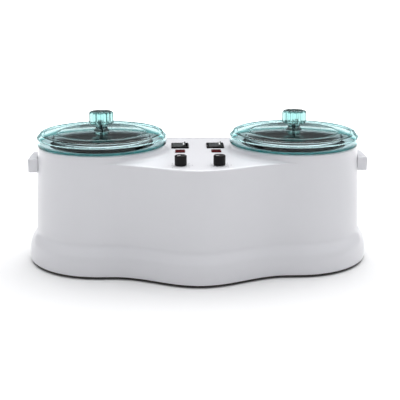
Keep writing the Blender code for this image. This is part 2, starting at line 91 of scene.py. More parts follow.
# ---- the housing's own shape --------------------------------------------
BULGE = -housing_low.y - FOOT_R + POT_Y
BULGE_HALF = 98.0
WALL = 2.5                # thickness
WALL_FOOT_Z = 34.0        # where the skirt's flare meets the wall
WALL_INSET = 9.3          # of the wall's foot from the skirt's widest line
WALL_SLOPE = 0.047
PANEL_Z = 127.8
WELL_R = 60.0
EDGE_R = 2.2              # rounding along the console's front edge
COLLAR_FILLET = 7.0       # hollow rounding where the panel meets a collar
COLLAR_EDGE_R = 1.6
LIP_TOP_Z = PANEL_Z + 2.0
LIP_BACK, LIP_FRONT = 74.4, 72.0   # the back lip's faces, behind the pots' centres
DIAL_SWEEP = 135.0        # degrees from the middle of a dial's scale, at its back, to either end
DIAL_START = math.radians(90.0 + DIAL_SWEEP)

# ---- holes and bought parts ---------------------------------------------
SWITCH_HOLE = (9.75, 11.35)   # half sizes
LAMP_HOLE = (5.2, 4.95)
BUSH_HOLE_R = 3.95
PANEL_CUT = (120.0, 135.0)    # heights of the cutters that pass through the panel
SEAT_Z = PANEL_Z + 0.3        # underside of the parts that sit on the panel
SCREW_R = 1.5
SCREW_HOLE_R = 1.9
INLET_BACK_Y, INLET_FACE_Y = 94.3, 96.6
INLET_SCREW_X = 20

# ---- roundness ----------------------------------------------------------
ROUND = 144
HALF_ROUND = ROUND // 2
BULGE_COUNT = 96
SMALL_ROUND = 32

# ---- surface detail, in noise features per metre ------------------------
COLOUR_PATCHES = 14.0
GLOSS_PATCHES = 30.0
METAL_PATCHES = 40.0
METAL_GRAIN = 900.0
CLEAR_RIPPLE = 45.0
CLEAR_SMEAR = 90.0

# ---- other shader values ------------------------------------------------
NOISE_LOW, NOISE_HIGH = 0.3, 0.7   # most noise values lie between these
CLEAR_IOR = 1.3                    # below real clear plastic, so that the pots show through at low angles


# ---- node materials -----------------------------------------------------
def new_material(name, colour, roughness, metallic=0.0, coat=0.0, specular=0.5):
    """A material, its node tree and its shader, with the constant inputs set."""
    material = bpy.data.materials.new(name)
    material.use_nodes = True
    shader = material.node_tree.nodes["Principled BSDF"]
    shader.inputs["Base Color"].default_value = (*colour, 1.0)
    shader.inputs["Roughness"].default_value = roughness
    shader.inputs["Metallic"].default_value = metallic
    shader.inputs["Coat Weight"].default_value = coat
    shader.inputs["Coat Roughness"].default_value = 0.08
    shader.inputs["Specular IOR Level"].default_value = specular
    return material, material.node_tree, shader


def add_noise(tree, scale, detail=3.0, stretch=(1.0, 1.0, 1.0)):
    """Object-space noise at a scale given in features per metre."""
    place = tree.nodes.new("ShaderNodeTexCoord")
    mapping = tree.nodes.new("ShaderNodeMapping")
    mapping.inputs["Scale"].default_value = stretch
    noise = tree.nodes.new("ShaderNodeTexNoise")
    noise.inputs["Scale"].default_value = scale
    noise.inputs["Detail"].default_value = detail
    tree.links.new(place.outputs["Object"], mapping.inputs["Vector"])
    tree.links.new(mapping.outputs["Vector"], noise.inputs["Vector"])
    return noise.outputs["Fac"]


def vary(tree, source, low, high, target):
    """Feed a shader input with a value that wanders between low and high."""
    spread = tree.nodes.new("ShaderNodeMapRange")
    spread.inputs["From Min"].default_value = NOISE_LOW
    spread.inputs["From Max"].default_value = NOISE_HIGH
    spread.inputs["To Min"].default_value = low
    spread.inputs["To Max"].default_value = high
    tree.links.new(source, spread.inputs["Value"])
    tree.links.new(spread.outputs["Result"], target)


def vary_colour(tree, source, first, second, target):
    """Feed a shader input with a colour that wanders between first and second."""
    ramp = tree.nodes.new("ShaderNodeValToRGB")
    ramp.color_ramp.elements[0].position = NOISE_LOW
    ramp.color_ramp.elements[1].position = NOISE_HIGH
    ramp.color_ramp.elements[0].color = (*first, 1.0)
    ramp.color_ramp.elements[1].color = (*second, 1.0)
    tree.links.new(source, ramp.inputs["Fac"])
    tree.links.new(ramp.outputs["Color"], target)


def add_bump(tree, shader, source, distance, strength=0.5):
    bump = tree.nodes.new("ShaderNodeBump")
    bump.inputs["Distance"].default_value = distance
    bump.inputs["Strength"].default_value = strength
    tree.links.new(source, bump.inputs["Height"])
    tree.links.new(bump.outputs["Normal"], shader.inputs["Normal"])


def moulded(name, first, second, rough, bump_scale, bump_height, coat=0.0, specular=0.5):
    """Moulded plastic or rubber: faint colour and gloss variation over a fine surface grain."""
    material, tree, shader = new_material(name, first, rough[0], 0.0, coat, specular)
    vary_colour(tree, add_noise(tree, COLOUR_PATCHES, 0.0), first, second, shader.inputs["Base Color"])
    vary(tree, add_noise(tree, GLOSS_PATCHES, 0.0), rough[0], rough[1], shader.inputs["Roughness"])
    add_bump(tree, shader, add_noise(tree, bump_scale, 2.0), bump_height, strength=0.1)
    return material


def metal(name, first, second, rough, stretch, bump_height=0.00002):
    """Metal with a drawn or spun grain along one direction."""
    material, tree, shader = new_material(name, first, rough[0], 1.0)
    grain = add_noise(tree, METAL_GRAIN, 2.0, stretch)
    vary_colour(tree, add_noise(tree, METAL_PATCHES), first, second, shader.inputs["Base Color"])
    vary(tree, grain, rough[0], rough[1], shader.inputs["Roughness"])
    add_bump(tree, shader, grain, bump_height, strength=0.3)
    return material


def map_range(tree, source, from_range, to_range, target):
    """Feed target with source, carried smoothly from one range to another."""
    spread = tree.nodes.new("ShaderNodeMapRange")
    spread.interpolation_type = "SMOOTHSTEP"
    spread.inputs["From Min"].default_value, spread.inputs["From Max"].default_value = from_range
    spread.inputs["To Min"].default_value, spread.inputs["To Max"].default_value = to_range
    tree.links.new(source, spread.inputs["Value"])
    tree.links.new(spread.outputs["Result"], target)


def axis_of(tree, output, axis):
    """One axis of a texture coordinate."""
    place = tree.nodes.new("ShaderNodeTexCoord")
    split = tree.nodes.new("ShaderNodeSeparateXYZ")
    tree.links.new(place.outputs[output], split.inputs["Vector"])
    return split.outputs[axis]


def deepen_low_edge(tree, edge_shade_tint, tint, target):
    """Feed a colour that goes from tint to a dark teal towards a lid's lower edge: painted shade along the lid's
    lower wall.
    """
    blend = tree.nodes.new("ShaderNodeMix")
    blend.data_type = "RGBA"
    blend.inputs["A"].default_value = (*edge_shade_tint, 1.0)
    blend.inputs["B"].default_value = (*tint, 1.0)
    heights = ((LID_Z + 1.5) * MM, (LID_Z + 5.0) * MM)
    map_range(tree, axis_of(tree, "Object", "Z"), heights, (0.0, 1.0), blend.inputs["Factor"])
    tree.links.new(blend.outputs["Result"], target)


def clear_plastic(name, tint, absorb_colour, absorb_density, edge_shade_tint=None):
    """Clear tinted plastic, deeper in colour where it is thick and, with its optional second tint, darker along
    its lower edge in painted shade.
    """
    material, tree, shader = new_material(name, tint, 0.03, specular=0.03)
    if edge_shade_tint:
        deepen_low_edge(tree, edge_shade_tint, tint, shader.inputs["Base Color"])
    shader.inputs["Transmission Weight"].default_value = 1.0
    shader.inputs["IOR"].default_value = CLEAR_IOR
    add_bump(tree, shader, add_noise(tree, CLEAR_RIPPLE, 1.0), distance=0.0001, strength=0.1)
    vary(tree, add_noise(tree, CLEAR_SMEAR), 0.01, 0.05, shader.inputs["Roughness"])
    absorb = tree.nodes.new("ShaderNodeVolumeAbsorption")
    absorb.inputs["Color"].default_value = (*absorb_colour, 1.0)
    absorb.inputs["Density"].default_value = absorb_density
    output = tree.nodes["Material Output"]
    tree.links.new(absorb.outputs["Volume"], output.inputs["Volume"])
    return material


# moulded takes a name, two colours, a roughness range, grain per metre and grain height in metres;
# metal takes a name, two colours, a roughness range and the stretch of its grain.
LOOKS = {
    "white_plastic": moulded("white_abs", (0.804, 0.804, 0.834), (0.81, 0.81, 0.84), (0.28, 0.30), 700.0,
                             0.000004, coat=0.2),
    "base_plastic": moulded("dark_base", (0.028, 0.024, 0.021), (0.040, 0.034, 0.030), (0.5, 0.65), 1100.0,
                            0.00006),
    "foot_rubber": moulded("rubber", (0.020, 0.020, 0.020), (0.032, 0.031, 0.030), (0.75, 0.9), 1500.0,
                           0.00006),
    "black_plastic": moulded("black_abs", (0.006, 0.005, 0.006), (0.010, 0.009, 0.010), (0.24, 0.34), 1300.0,
                             0.00001, specular=0.15),
    "rocker_plastic": moulded("rocker_grey", (0.040, 0.046, 0.048), (0.052, 0.058, 0.060), (0.2, 0.3), 1300.0,
                              0.00001, specular=0.3),
    "print_ink": moulded("print_ink", (0.045, 0.045, 0.055), (0.07, 0.07, 0.08), (0.5, 0.6), 2000.0,
                         0.000005),
    "white_ink": moulded("white_ink", (0.82, 0.83, 0.82), (0.88, 0.88, 0.87), (0.4, 0.5), 2000.0, 0.000005),
    "red_lens": moulded("red_lens", (0.085, 0.001, 0.003), (0.10, 0.001, 0.004), (0.30, 0.4), 500.0, 0.00001,
                        specular=0.08),
    "bright_steel": metal("bright_steel", (0.56, 0.57, 0.59), (0.64, 0.64, 0.66), (0.2, 0.34),
                          (1.0, 1.0, 0.2)),
    "spun_aluminium": metal("spun_aluminium", (0.68, 0.69, 0.71), (0.78, 0.78, 0.80), (0.22, 0.38),
                            (0.1, 0.1, 1.0)),
    "anodised_pot": metal("anodised_pot", (0.030, 0.030, 0.032), (0.045, 0.045, 0.048), (0.30, 0.42),
                          (0.1, 0.1, 1.0)),
    "heater_mica": moulded("heater_mica", (0.33, 0.23, 0.11), (0.48, 0.36, 0.2), (0.5, 0.7), 300.0, 0.0002),
    # clear_teal's last colour is painted shade: a dark teal band along the lid's lower edge
    "clear_teal": clear_plastic("clear_teal", (0.97, 1.0, 1.0), (0.0, 0.85, 0.88), 46.0, (0.08, 0.26, 0.26)),
    "clear_teal_thick": clear_plastic("clear_teal_thick", (0.46, 0.49, 0.49), (0.0, 0.80, 0.76), 28.0),
}


# ---- mesh helpers -------------------------------------------------------
def circle(radius, z, count, centre=(0.0, 0.0)):
    """A level ring of points, anticlockwise."""
    step = 2 * math.pi / count
    return [Vector((centre[0] + radius * math.cos(i * step),
                    centre[1] + radius * math.sin(i * step), z)) for i in range(count)]


def loft(bm, rings, closed=False):
    """Skin over rings of equal length; closed joins the last ring to the first."""
    rows = [[bm.verts.new(point) for point in ring] for ring in rings]
    pairs = list(zip(rows, rows[1:]))
    if closed:
        pairs.append((rows[-1], rows[0]))
    count = len(rows[0])
    for low, high in pairs:
        for i in range(count):
            j = (i + 1) % count
            bm.faces.new((low[i], low[j], high[j], high[i]))
    if not closed:
        bm.faces.new(list(reversed(rows[0])))
        bm.faces.new(rows[-1])


def turn(bm, profile, centre, closed=False, count=ROUND):
    """A turned solid from (radius, height) profile points."""
    loft(bm, [circle(radius, z, count, centre) for radius, z in profile], closed)


def rod(bm, start, end, radius, count=SMALL_ROUND):
    """A straight round bar between two points."""
    start, end = Vector(start), Vector(end)
    axis = end - start
    place = Matrix.Translation((start + end) / 2) @ axis.to_track_quat("Z", "Y").to_matrix().to_4x4()
    bmesh.ops.create_cone(bm, cap_ends=True, segments=count, radius1=radius, radius2=radius,
                          depth=axis.length, matrix=place)


def box(bm, low, high):
    low, high = Vector(low), Vector(high)
    size = high - low
    place = Matrix.Translation((low + high) / 2) @ Matrix.Diagonal((*size, 1.0))
    bmesh.ops.create_cube(bm, size=1.0, matrix=place)


def rounded_plan(half_x, half_y, corner, z, centre=(0.0, 0.0), steps=6):
    """A rectangle with round corners, anticlockwise."""
    points = []
    for quarter, (a, b) in enumerate(((1, 1), (-1, 1), (-1, -1), (1, -1))):
        for i in range(steps + 1):
            angle = math.pi / 2 * (quarter + i / steps)
            points.append(Vector((centre[0] + a * (half_x - corner) + corner * math.cos(angle),
                                  centre[1] + b * (half_y - corner) + corner * math.sin(angle), z)))
    return points


def arc(centre_r, centre_z, radius, start, end, steps=5):
    """Profile points (r, z) along an arc, angles in degrees."""
    points = []
    for i in range(steps + 1):
        angle = math.radians(start + (end - start) * i / steps)
        points.append((centre_r + radius * math.cos(angle), centre_z + radius * math.sin(angle)))
    return points


def smooth_through(points, steps=5):
    """A smooth (Catmull-Rom) curve through 2-D points."""
    curve = []
    last = len(points) - 1
    for i in range(last):
        around = (max(i - 1, 0), i, i + 1, min(i + 2, last))
        p0, p1, p2, p3 = (Vector(points[index]) for index in around)
        for k in range(steps):
            t = k / steps
            point = 0.5 * (2 * p1 + (p2 - p0) * t + (2 * p0 - 5 * p1 + 4 * p2 - p3) * t ** 2
                           + (3 * p1 - p0 - 3 * p2 + p3) * t ** 3)
            curve.append(tuple(point))
    curve.append(tuple(points[-1]))
    return curve


def smoothstep(t):
    t = min(max(t, 0.0), 1.0)
    return t * t * (3 - 2 * t)


def scratch_object(name, bm):
    """An object in metres from a mesh drawn in millimetres."""
    bmesh.ops.recalc_face_normals(bm, faces=bm.faces)
    bmesh.ops.scale(bm, verts=bm.verts, vec=(MM, MM, MM))
    mesh = bpy.data.meshes.new(name)
    bm.to_mesh(mesh)
    bm.free()
    obj = bpy.data.objects.new(name, mesh)
    bpy.context.scene.collection.objects.link(obj)
    return obj


def apply_modifiers(obj):
    """Replace an object's mesh by the result of its modifiers."""
    depsgraph = bpy.context.evaluated_depsgraph_get()
    mesh = bpy.data.meshes.new_from_object(obj.evaluated_get(depsgraph))
    old = obj.data
    obj.modifiers.clear()
    obj.data = mesh
    bpy.data.meshes.remove(old)


def combine(obj, tools):
    """Apply (operation, mesh) Booleans one after another."""
    for operation, bm in tools:
        tool = scratch_object("tool", bm)
        modifier = obj.modifiers.new("tool", "BOOLEAN")
        modifier.operation = operation
        modifier.solver = "EXACT"
        modifier.object = tool
        apply_modifiers(obj)
        bpy.data.objects.remove(tool)


def piece(name, bm, body, slot, replaces=(), look=None, tools=(), bevel=0.0, sharp=35.0):
    """A finished visible piece: mesh, material, body, slot and the CAD nodes it stands for."""
    obj = scratch_object(name, bm)
    combine(obj, tools)
    if bevel:
        modifier = obj.modifiers.new("bevel", "BEVEL")
        modifier.width = bevel * MM
        modifier.segments = 3
        modifier.limit_method = "ANGLE"
        modifier.angle_limit = math.radians(40)
        modifier.use_clamp_overlap = True
        apply_modifiers(obj)
    obj.data.shade_smooth()
    obj.data.set_sharp_from_angle(angle=math.radians(sharp))
    weighted = obj.modifiers.new("normals", "WEIGHTED_NORMAL")
    weighted.keep_sharp = True
    apply_modifiers(obj)
    obj.data.materials.clear()
    obj.data.materials.append(LOOKS[look or slot])
    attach(obj, body)
    if replaces:
        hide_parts(*replaces)
    return obj


# ---- body outline -------------------------------------------------------
def wall_inset(z):
    """How far the wall stands back from the skirt's widest line at height z."""
    return WALL_INSET + WALL_SLOPE * (z - WALL_FOOT_Z)


def wall_radius(z):
    return FOOT_R - wall_inset(z)


def half_circle(side, radius_at, z_at, outer):
    """Half of a pot's circle; radius_at and z_at take how far round the half a point is, 0 to 1."""
    turns = range(HALF_ROUND + 1) if outer else range(1, HALF_ROUND)
    start = -math.pi / 2 if (side > 0) == outer else math.pi / 2
    points = []
    for i in turns:
        part = i / HALF_ROUND
        angle = start + math.pi * part
        radius = radius_at(part)
        points.append(Vector((side * POT_X + radius * math.cos(angle), POT_Y + radius * math.sin(angle),
                              z_at(part))))
    return points


def front_bulge(inset, z, edge=0.0):
    """The console's front; edge is an extra inset that fades out towards the pots."""
    points = []
    for i in range(BULGE_COUNT + 1):
        x = -BULGE_HALF + 2 * BULGE_HALF * i / BULGE_COUNT
        phase = math.pi * x / (2 * BULGE_HALF)
        y = -(FOOT_R + BULGE * math.cos(phase) ** 2)
        slope = BULGE * math.pi / (2 * BULGE_HALF) * math.sin(2 * phase)
        length = math.hypot(1.0, slope)
        move = inset + edge * smoothstep(3 * (1 - abs(x) / BULGE_HALF))
        points.append(Vector((x - slope / length * move, POT_Y + y + move / length, z)))
    return points


def outline(inset, z, edge=0.0):
    """The housing's plan at height z: right end, left end and front, anticlockwise."""
    radius = FOOT_R - inset
    ends = half_circle(1, lambda part: radius, lambda part: z, True)
    ends += half_circle(-1, lambda part: radius, lambda part: z, True)
    return ends + front_bulge(inset, z, edge)


def fill_level(bm, boundary, z, spacing=9.0):
    """Fill a flat outline with even triangles, so that holes cut in it stay clean."""
    points = [Vector((vert.co.x, vert.co.y)) for vert in boundary]
    count = len(points)
    rim = [(i, (i + 1) % count) for i in range(count)]
    clear = 0.6 * spacing
    reach = 14                # grid steps that cover the console to either side
    for column in range(-reach, reach + 1):
        for row in range(-reach, reach + 1):
            spot = Vector((column * spacing + 0.37, row * spacing + 0.23))
            if min((spot - point).length for point in points[::3]) > clear:
                points.append(spot)
    places, _, triangles, origins, _, _ = delaunay_2d_cdt(points, rim, [], 1, 1e-5)
    used = {index for triangle in triangles for index in triangle}
    verts = {}
    for index in used:
        first = origins[index][0] if origins[index] else count
        verts[index] = boundary[first] if first < count else bm.verts.new((*places[index], z))
    for triangle in triangles:
        bm.faces.new([verts[index] for index in triangle])


def skin(bm, levels, fillet, collar):
    """One skin of the housing, from its foot to the two wells.

    levels are (height, inset, edge) rows up to the panel, and collar is (radius, height) rows above it.
    """
    rows = [[bm.verts.new(point) for point in outline(inset, z, edge)] for z, inset, edge in levels]
    count = len(rows[0])
    for low, high in zip(rows, rows[1:]):
        for i in range(count):
            j = (i + 1) % count
            bm.faces.new((low[i], low[j], high[j], high[i]))
    top_z, top_inset, _ = levels[-1]
    radius = FOOT_R - top_inset
    end = HALF_ROUND + 1
    right, left, front = rows[-1][:end], rows[-1][end:2 * end], rows[-1][2 * end:]
    steps = 6 if fillet else 0
    lift = 0.01               # keeps neighbouring rings apart where the fillet fades out

    def spread(part):
        """How wide the fillet is at this part of the half circle."""
        return fillet * smoothstep(min(part, 1 - part) * 5)

    inner = {}
    for side in (1, -1):
        points = half_circle(side, lambda part: radius + spread(part), lambda part: top_z, False)
        inner[side] = [bm.verts.new(point) for point in points]
    panel = front + [right[0]] + inner[1][::-1] + [right[-1], left[0]] + inner[-1][::-1] + [left[-1]]
    fill_level(bm, panel, top_z)
    wells = []
    for side, ring in ((1, right + inner[1]), (-1, left + inner[-1])):
        rings = []
        for i in range(1, steps + 1):
            angle = math.pi / 2 * i / steps
            left_out, rise = 1 - math.sin(angle), 1 - math.cos(angle)
            outer_half = half_circle(side, lambda part: radius, lambda part: top_z + lift * rise, True)
            inner_half = half_circle(side, lambda part: radius + spread(part) * left_out,
                                     lambda part: top_z + (spread(part) + lift) * rise, False)
            rings.append(outer_half + inner_half)
        for ring_radius, z in collar:
            rings.append(half_circle(side, lambda part: ring_radius, lambda part: z, True)
                         + half_circle(side, lambda part: ring_radius, lambda part: z, False))
        for points in rings:
            row = [bm.verts.new(point) for point in points]
            for i in range(ROUND):
                j = (i + 1) % ROUND
                bm.faces.new((ring[i], ring[j], row[j], row[i]))
            ring = row
        wells.append(ring)
    return rows[0], wells


def bridge(bm, first, second):
    """Join two rings of vertices by a band of faces."""
    for i in range(len(first)):
        j = (i + 1) % len(first)
        bm.faces.new((first[i], first[j], second[j], second[i]))


# ---- housing and base ---------------------------------------------------
def make_housing():
    """White moulded shell with a flared skirt, console panel, collars and a lip at the back."""
    shape = [(3.1, 0.9), (3.7, 0.25), (4.8, 0.0), (8.7, 0.0), (16.3, 0.4), (21.4, 1.4), (26.4, 3.0),
             (31.4, 5.9), (35.0, 8.3), (38.5, wall_inset(38.5)), (46.0, wall_inset(46.0)),
             (60.0, wall_inset(60.0))]
    levels = [(z, inset, 0.0) for z, inset in smooth_through(shape, 3)]
    levels += [(z, wall_inset(z), 0.0) for z in (80.0, 100.0, 115.0, PANEL_Z - EDGE_R - 0.2)]
    for i in range(7):
        angle = math.pi / 2 * i / 6
        z = PANEL_Z - EDGE_R * (1 - math.sin(angle))
        levels.append((z, wall_inset(z), EDGE_R * (1 - math.cos(angle))))
    rim = wall_radius(COLLAR_Z)
    collar = [(rim, COLLAR_Z - COLLAR_EDGE_R - 0.1)]
    collar += arc(rim - COLLAR_EDGE_R, COLLAR_Z - COLLAR_EDGE_R, COLLAR_EDGE_R, 0, 90)
    collar += [(WELL_R + 0.5, COLLAR_Z), (WELL_R, COLLAR_Z - 0.5)]
    roof_z = PANEL_Z - WALL
    inside = [(3.1, WALL, 0.0), (16.3, 0.4 + WALL, 0.0), (26.4, 3.0 + WALL, 0.0),
              (38.5, wall_inset(38.5) + WALL, 0.0), (roof_z, wall_inset(roof_z) + WALL, 0.0)]
    inside_collar = [(rim - WALL, COLLAR_Z - WALL), (WELL_R, COLLAR_Z - WALL)]
    bm = bmesh.new()
    bottom_out, wells_out = skin(bm, levels, COLLAR_FILLET, collar)
    bottom_in, wells_in = skin(bm, inside, 0.0, inside_collar)
    bridge(bm, bottom_out, bottom_in)
    for first, second in zip(wells_out, wells_in):
        bridge(bm, first, second)
    tools = [("UNION", housing_additions()), ("DIFFERENCE", housing_cutouts())]
    piece("housing_shell", bm, "warmer", "white_plastic", ("housing",), tools=tools, sharp=32.0)


def plan_places(stem, count):
    """Plan positions of the CAD nodes stem_1, stem_2 and so on."""
    middles = [node_centre(f"{stem}_{number}") for number in range(1, count + 1)]
    return [(middle.x, middle.y) for middle in middles]


SCREW_PLACES = plan_places("base_screw", 6)
FOOT_PLACES = plan_places("rubber_foot", 4)


def housing_additions():
    """Screw bosses, the lip along the panel's back edge and the pad behind the inlet."""
    bm = bmesh.new()
    for x, y in SCREW_PLACES:
        rod(bm, (x, y, 4.8), (x, y, 42.0), 4.0)
    lip_end = POT_X - math.sqrt(wall_radius(PANEL_Z) ** 2 - LIP_FRONT ** 2)
    rows = []
    for z, trim in ((PANEL_Z - 1.2, 0.0), (LIP_TOP_Z - 0.5, 0.0), (LIP_TOP_Z - 0.12, 0.15), (LIP_TOP_Z, 0.5)):
        plan = [(-POT_X, LIP_BACK - trim), (-lip_end, LIP_FRONT + trim), (lip_end, LIP_FRONT + trim),
                (POT_X, LIP_BACK - trim)]
        rows.append([Vector((x, POT_Y + y, z)) for x, y in plan])
    loft(bm, rows)
    low, high = node_box("power_inlet")
    middle = (low.z + high.z) / 2
    pad = [[Vector((p.x, y, middle + p.y)) for p in rounded_plan(27 - trim, 13 - trim, 3.0, 0)]
           for y, trim in ((90.0, 0.0), (93.4, 0.0), (94.0, 0.6))]
    loft(bm, pad)
    return bm


def housing_cutouts():
    """Holes for the switches, lamps, dial bushes, base screws and inlet."""
    bm = bmesh.new()
    bottom, top = PANEL_CUT
    for _, side in SIDES:
        x = side * SIDE_X
        loft(bm, [rounded_plan(*SWITCH_HOLE, 0.6, z, (x, SWITCH_Y), 3) for z in PANEL_CUT])
        loft(bm, [rounded_plan(*LAMP_HOLE, 0.4, z, (x, LAMP_Y), 3) for z in PANEL_CUT])
        rod(bm, (x, DIAL_Y, bottom), (x, DIAL_Y, top), BUSH_HOLE_R)
    for x, y in SCREW_PLACES:
        rod(bm, (x, y, 2.0), (x, y, 20.0), SCREW_HOLE_R, 16)
    middle = node_centre("power_inlet").z
    box(bm, (-14, 84, middle - 10), (14, 98, middle + 10))
    return bm


def make_base_plate():
    """Dark base tray: the thin line under the skirt, with vent slots, feet and screw holes."""
    low, high = node_box("base_plate")
    rim = 1.6
    rings = [outline(rim + 0.5, low.z), outline(rim, low.z + 0.5), outline(rim, 2.6), outline(rim + 0.2, 2.8),
             outline(4.4, 2.9), outline(4.4, high.z)]
    bm = bmesh.new()
    loft(bm, rings)
    cut = bmesh.new()
    for x, y in SCREW_PLACES:
        sink = [(4.2, 0.4), (3.7, 0.9), (SCREW_HOLE_R, 3.0), (SCREW_HOLE_R, 5.0)]
        turn(cut, sink, (x, y), count=SMALL_ROUND)
    for x, y in FOOT_PLACES:
        rod(cut, (x, y, 0.0), (x, y, 6.0), 8.4, 48)
    slot_pitch = 12
    for _, side in SIDES:
        for i in range(-2, 3):
            x = side * POT_X + slot_pitch * i
            loft(cut, [rounded_plan(2.0, 20.0, 1.99, z, (x, POT_Y)) for z in (0.0, 6.0)])
    piece("base_tray", bm, "warmer", "base_plastic", ("base_plate",), tools=[("DIFFERENCE", cut)])


def make_feet():
    """Rubber feet with a groove that the base tray snaps into."""
    for number, place in enumerate(FOOT_PLACES, 1):
        bm = bmesh.new()
        profile = [(5.0, 0.35), (5.6, 0.0), (9.0, 0.0), (9.35, 0.2), (9.5, 0.6), (8.0, 0.6), (8.0, 4.7),
                   (10.0, 4.7), (9.9, 5.5), (9.5, 6.2)]
        turn(bm, profile, place, count=64)
        piece(f"foot_{number}", bm, "warmer", "foot_rubber", (f"rubber_foot_{number}",))


def cross_recess(place, low, high, size):
    """Cutters for a cross-shaped driver recess along Z."""
    tools = []
    for x, y in ((size, size * 0.22), (size * 0.22, size)):
        bm = bmesh.new()
        box(bm, (place[0] - x, place[1] - y, low), (place[0] + x, place[1] + y, high))
        tools.append(("DIFFERENCE", bm))
    return tools


def make_base_screws():
    """Countersunk screws, driven up through the tray."""
    for number, place in enumerate(SCREW_PLACES, 1):
        bm = bmesh.new()
        turn(bm, [(3.1, 1.0), (3.3, 1.15), (SCREW_R, 2.8), (SCREW_R, 17.0), (0.6, 18.5)], place,
             count=SMALL_ROUND)
        piece(f"base_screw_head_{number}", bm, "warmer", "bright_steel", (f"base_screw_{number}",),
              tools=cross_recess(place, 0.5, 2.2, 1.9))


# ---- side handles -------------------------------------------------------
def handle_plan(side, face_x, reach, corner, radius, z):
    """Plan of a grip block: rounded outer corners, and the wall's own curve on the inner side."""
    points = []
    for sign, start in ((-1, -90), (1, 0)):
        for i in range(9):
            angle = math.radians(start + 90 * i / 8)
            points.append(Vector((side * (face_x - corner + corner * math.cos(angle)),
                                  POT_Y + sign * (reach - corner) + corner * math.sin(angle), z)))
    for i in range(25):
        y = reach - 2 * reach * i / 24
        points.append(Vector((side * (POT_X + math.sqrt(radius ** 2 - y ** 2)), POT_Y + y, z)))
    return points


def make_handles():
    """Grip blocks with softened edges, one on each end."""
    edge, corner, air, steps = 1.1, 1.6, 0.4, 6
    angles = [math.pi / 2 * i / steps for i in range(steps + 1)]
    quarter = [(edge * (1 - math.cos(angle)), edge * (1 - math.sin(angle))) for angle in angles]
    for name, side in SIDES:
        low, high = node_box(f"side_handle_{name}")
        face_x = max(abs(low.x), abs(high.x))
        reach = (high.y - low.y) / 2
        rows = [(low.z + rise, inset) for rise, inset in quarter]
        rows += [(high.z - rise, inset) for rise, inset in reversed(quarter)]
        bm = bmesh.new()
        loft(bm, [handle_plan(side, face_x - inset, reach - inset, corner, wall_radius(z) + air, z)
                  for z, inset in rows])
        piece(f"grip_{name}", bm, "warmer", "white_plastic", (f"side_handle_{name}",))


# ---- wells, pots and lids -----------------------------------------------
def make_well(name, side):
    """Black collar ring and spun aluminium chamber."""
    centre = (side * POT_X, POT_Y)
    top = COLLAR_Z - 0.3
    neck_r, flange_z = WELL_R - 0.35, COLLAR_Z - 2.8
    bm = bmesh.new()
    ring = [(58.4, top - 0.4), (58.4, 133.0), (56.0, 133.0), (56.0, 131.0), (59.6, 131.0), (59.6, 133.0),
            (64.0, 133.0), (64.0, flange_z), (neck_r, flange_z), (neck_r, top - 0.3), (neck_r - 0.3, top),
            (58.8, top)]
    turn(bm, ring, centre, closed=True)
    piece(f"collar_trim_{name}", bm, "warmer", "black_plastic", (f"collar_ring_{name}",))

    bm = bmesh.new()
    chamber = [(50.0, 62.0), (53.6, 62.8), (55.6, 65.6), (55.6, 133.3), (57.9, 133.3), (57.9, 134.3),
               (57.7, 134.5), (54.6, 134.5), (54.2, 134.1), (54.2, 67.0), (52.6, 64.6), (49.6, 63.6)]
    turn(bm, chamber, centre)
    piece(f"chamber_{name}", bm, "warmer", "spun_aluminium", (f"heating_chamber_{name}",))


def make_pot(name, side):
    """Lift-out pot with rolled rim, ears and wire bail."""
    centre = (side * POT_X, POT_Y)
    body = f"pot_{name}"
    bm = bmesh.new()
    profile = [(48.6, 66.0), (51.8, 66.9), (53.4, 70.0), (53.4, 134.3), (54.0, 134.9), (57.0, 134.9),
               (57.5, 135.2), (57.6, 135.5), (57.5, 135.8), (57.0, 136.1), (53.6, 136.1), (52.8, 135.8),
               (52.4, 135.0), (52.4, 71.0), (50.8, 68.0), (48.4, 67.2)]
    turn(bm, profile, centre)
    pivot_z = frame_joint(f"bail_{name}_swing")["pos_m"][2] / MM
    ear_x, ear_half = 55.8, 0.6                # middle and half thickness
    ear_top, ear_foot, hole_r = 4.0, 6.2, 1.7  # reach above and below the pivot, and the pivot's hole
    ears = bmesh.new()
    steps = 24
    for end in (-1, 1):
        plan, hole = [], []
        for i in range(steps):
            angle = 2 * math.pi * i / steps
            y, z = math.cos(angle), math.sin(angle)
            plan.append((ear_top * y, pivot_z + (ear_top if z > 0 else ear_foot) * z))
            hole.append((hole_r * y, pivot_z + hole_r * z))
        rings = []
        for x, shape in ((-ear_half, plan), (ear_half, plan), (ear_half, hole), (-ear_half, hole)):
            rings.append([Vector((centre[0] + end * (ear_x + x), POT_Y + y, z)) for y, z in shape])
        loft(ears, rings, closed=True)
    piece(f"wax_pot_{name}", bm, body, "anodised_pot", (f"inner_pot_{name}",), tools=[("UNION", ears)])

    low, high = node_box(f"pot_bail_{name}")
    wire = (high.z - low.z) / 2 / math.cos(math.pi / 6)
    reach = (high.x - low.x) / 2
    radius, turn_in = 53.5, 1.6    # the bail's bow, and how far outside it the ends straighten
    path = [Vector((centre[0] + x, POT_Y, pivot_z)) for x in (-reach, -radius - turn_in)]
    bend, steps = 4, 64
    for i in range(bend, steps - bend + 1):
        angle = math.pi + math.pi * i / steps
        x, y = radius * math.cos(angle), radius * math.sin(angle)
        path.append(Vector((centre[0] + x, POT_Y + y, pivot_z)))
    path += [Vector((centre[0] + x, POT_Y, pivot_z)) for x in (radius + turn_in, reach)]
    bm = bmesh.new()
    tube(bm, path, wire, 16)
    piece(f"bail_wire_{name}", bm, f"bail_{name}", "bright_steel", (f"pot_bail_{name}",), sharp=50.0)


def frame_joint(name):
    """One of the frame's joints, by name."""
    return next(joint for joint in frame["joints"] if joint["name"] == name)


